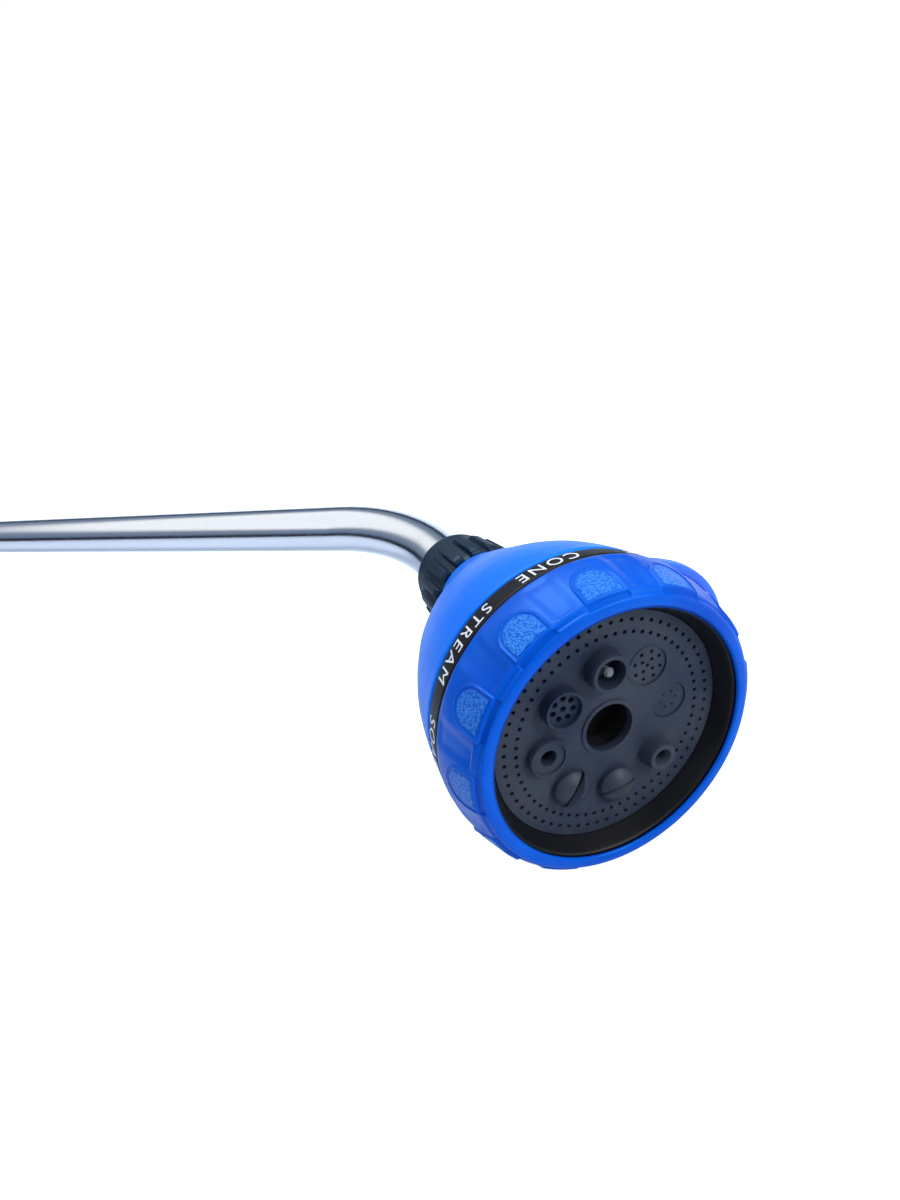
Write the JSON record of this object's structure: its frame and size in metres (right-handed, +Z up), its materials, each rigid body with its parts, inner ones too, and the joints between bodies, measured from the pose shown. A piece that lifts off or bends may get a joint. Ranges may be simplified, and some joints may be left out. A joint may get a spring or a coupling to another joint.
{
  "type": "garden watering wand",
  "caption": "Watering wand: dial spray head on a bent metal tube, foam grip, thumb valve lever, swivel hose inlet nut and a hang loop.",
  "frame": {"origin": "centre of the hose inlet's open face, on the tube's axis", "axes": "+X along the straight tube towards the spray head, -Y the side the head is turned to, +Z up with the wand lying on its side"},
  "size_m": [0.8358, 0.1534, 0.0872],
  "materials": {
    "black_plastic": "moulded, satin",
    "blue_plastic": "moulded, smooth gloss",
    "grip_rubber": "soft-touch, stippled pads",
    "face_plastic": "moulded, fine matt",
    "core_plastic": "moulded",
    "white_plastic": "smooth",
    "lever_plastic": "moulded, smooth",
    "tube_metal": "polished",
    "foam": "closed-cell foam, matt",
    "seal_rubber": "smooth",
    "steel": "bright",
    "brass": "turned",
    "chromed": "polished"
  },
  "bodies": {
    "wand": {"hose_washer": "seal_rubber", "valve_body": "black_plastic", "ball_seats": "white_plastic", "seat_ring": "core_plastic", "stem_o_rings": "seal_rubber", "tail_o_ring": "seal_rubber", "tail_ferrule": "white_plastic", "valve_nut": "black_plastic", "wand_tube": "tube_metal", "foam_grip": "foam", "grip_collar": "lever_plastic", "head_nut": "black_plastic", "head_ferrule": "white_plastic", "head_o_ring": "seal_rubber", "flow_core": "core_plastic", "rear_housing": "blue_plastic", "core_screws": "steel", "detent_spring": "steel", "seal_spring": "steel", "dial_screw": "steel", "dial_washer": "white_plastic"},
    "dial": {"distributor": "core_plastic", "spray_plate": "face_plastic", "mist_insert": "face_plastic", "cone_pin": "core_plastic", "dial_shell": "black_plastic", "dial_grip": "grip_rubber"},
    "lever": {"thumb_lever": "lever_plastic", "valve_ball": "chromed", "ball_stems": "brass", "lever_screws": "steel"},
    "inlet": {"inlet_nut": "black_plastic"},
    "detent": {"detent_pin": "steel"},
    "seal": {"outlet_seal": "seal_rubber"}
  },
  "joints": [
    {"name": "dial_turn", "type": "hinge", "parent": "wand", "child": "dial", "pos_m": [0.81437, -0.09161, 0], "axis": [0.8348, -0.5505, 0], "continuous": true},
    {"name": "lever_swing", "type": "hinge", "parent": "wand", "child": "lever", "pos_m": [0.042, 0, 0], "axis": [0, 0, -1], "range_deg": [0, 90]},
    {"name": "inlet_swivel", "type": "hinge", "parent": "wand", "child": "inlet", "pos_m": [0, 0, 0], "axis": [1, 0, 0], "continuous": true},
    {"name": "detent_press", "type": "slide", "parent": "wand", "child": "detent", "axis": [-0.8348, 0.5505, 0], "range_m": [0, 0.0006], "stiffness_N_per_m": 600, "springref_m": -0.002, "deforming": ["detent_spring"]},
    {"name": "seal_press", "type": "slide", "parent": "wand", "child": "seal", "axis": [-0.8348, 0.5505, 0], "range_m": [0, 0.0005], "stiffness_N_per_m": 800, "springref_m": -0.002, "deforming": ["seal_spring"]}
  ]
}
